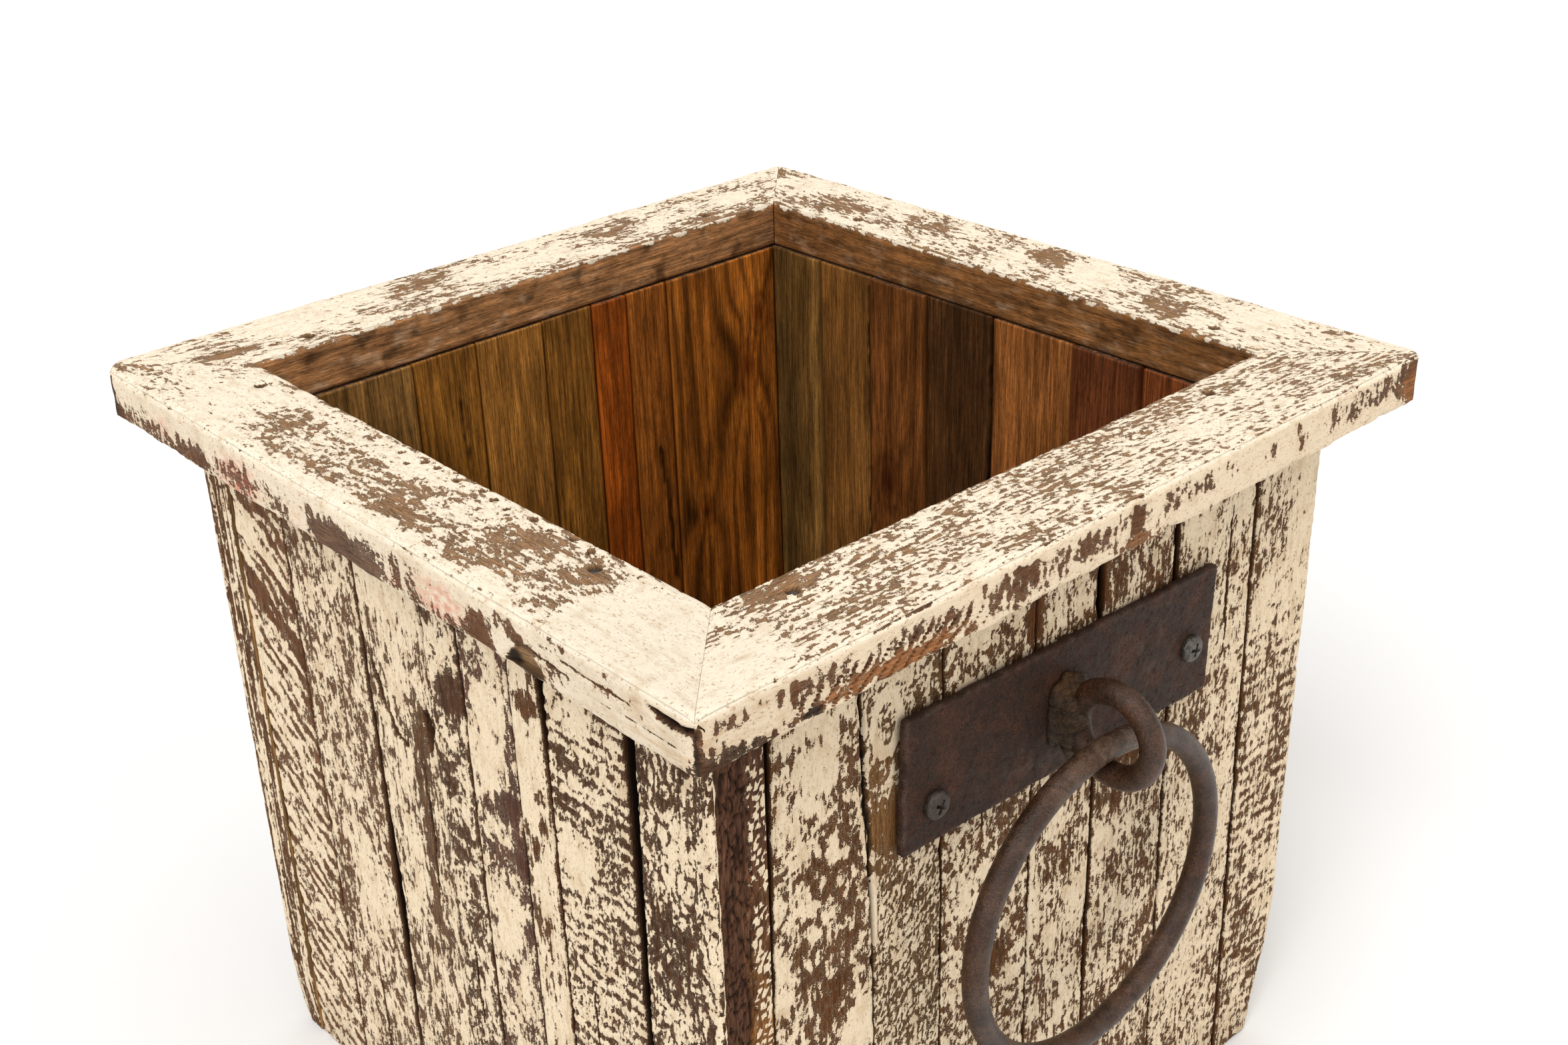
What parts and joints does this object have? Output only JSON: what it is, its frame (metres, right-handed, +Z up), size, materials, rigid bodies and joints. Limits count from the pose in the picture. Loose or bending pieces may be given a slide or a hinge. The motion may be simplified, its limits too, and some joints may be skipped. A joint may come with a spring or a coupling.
{
  "type": "planter box",
  "caption": "Square planter box of upright reclaimed boards under an overhanging mitred rim, with a welded drop-ring handle on two opposite walls.",
  "frame": {"origin": "centre of the square footprint, on the ground", "axes": "+X to the right along the front wall, +Y from the front wall to the back wall, +Z up; the front handle is on the -Y wall"},
  "size_m": [0.305, 0.3418, 0.272],
  "materials": {
    "cream_paint": "flaking cream whitewash over dark reclaimed wood",
    "worn_paint": "cream whitewash worn through to brown wood in flecks and patches",
    "tan_wood": "bare ochre-brown wood with specks of old paint",
    "floor_wood": "rough dark unpainted wood",
    "forged_iron": "dark brown rusted iron, finely pitted",
    "weld_bead": "rough grey-brown weld metal",
    "zinc_screw": "dull zinc-plated steel",
    "nail_steel": "dull darkened steel"
  },
  "bodies": {
    "box": {"front_stave_1": "cream_paint", "front_stave_2": "worn_paint", "front_stave_3": "tan_wood", "front_stave_4": "worn_paint", "front_stave_5": "worn_paint", "front_stave_6": "worn_paint", "front_stave_7": "cream_paint", "right_stave_1": "cream_paint", "right_stave_2": "worn_paint", "right_stave_3": "tan_wood", "right_stave_4": "worn_paint", "right_stave_5": "cream_paint", "right_stave_6": "worn_paint", "right_stave_7": "worn_paint", "back_stave_1": "worn_paint", "back_stave_2": "tan_wood", "back_stave_3": "worn_paint", "back_stave_4": "cream_paint", "back_stave_5": "worn_paint", "back_stave_6": "cream_paint", "back_stave_7": "worn_paint", "left_stave_1": "worn_paint", "left_stave_2": "cream_paint", "left_stave_3": "worn_paint", "left_stave_4": "worn_paint", "left_stave_5": "cream_paint", "left_stave_6": "cream_paint", "left_stave_7": "cream_paint", "left_stave_8": "worn_paint", "rim_front": "cream_paint", "rim_right": "cream_paint", "rim_back": "cream_paint", "rim_left": "cream_paint", "rim_nail_front_left": "nail_steel", "rim_nail_front_right": "nail_steel", "rim_nail_right_front": "nail_steel", "rim_nail_right_rear": "nail_steel", "rim_nail_back_right": "nail_steel", "rim_nail_back_left": "nail_steel", "rim_nail_left_rear": "nail_steel", "rim_nail_left_front": "nail_steel", "floor_board_front": "floor_wood", "floor_board_middle": "floor_wood", "floor_board_rear": "floor_wood", "floor_cleat_left": "floor_wood", "floor_cleat_right": "floor_wood", "front_plate": "forged_iron", "front_eye": "forged_iron", "front_eye_weld": "weld_bead", "front_screw_left": "zinc_screw", "front_screw_right": "zinc_screw", "back_plate": "forged_iron", "back_eye": "forged_iron", "back_eye_weld": "weld_bead", "back_screw_left": "zinc_screw", "back_screw_right": "zinc_screw"},
    "front_drop_ring": {"front_ring": "forged_iron"},
    "back_drop_ring": {"back_ring": "forged_iron"}
  },
  "joints": [
    {"name": "front_ring_swing", "type": "hinge", "parent": "box", "child": "front_drop_ring", "pos_m": [0.0008, -0.1515, 0.1926], "axis": [-1, 0, 0], "range_deg": [-7.5, 174]},
    {"name": "back_ring_swing", "type": "hinge", "parent": "box", "child": "back_drop_ring", "pos_m": [-0.0008, 0.1515, 0.1926], "axis": [1, 0, 0], "range_deg": [-7.5, 174]}
  ]
}
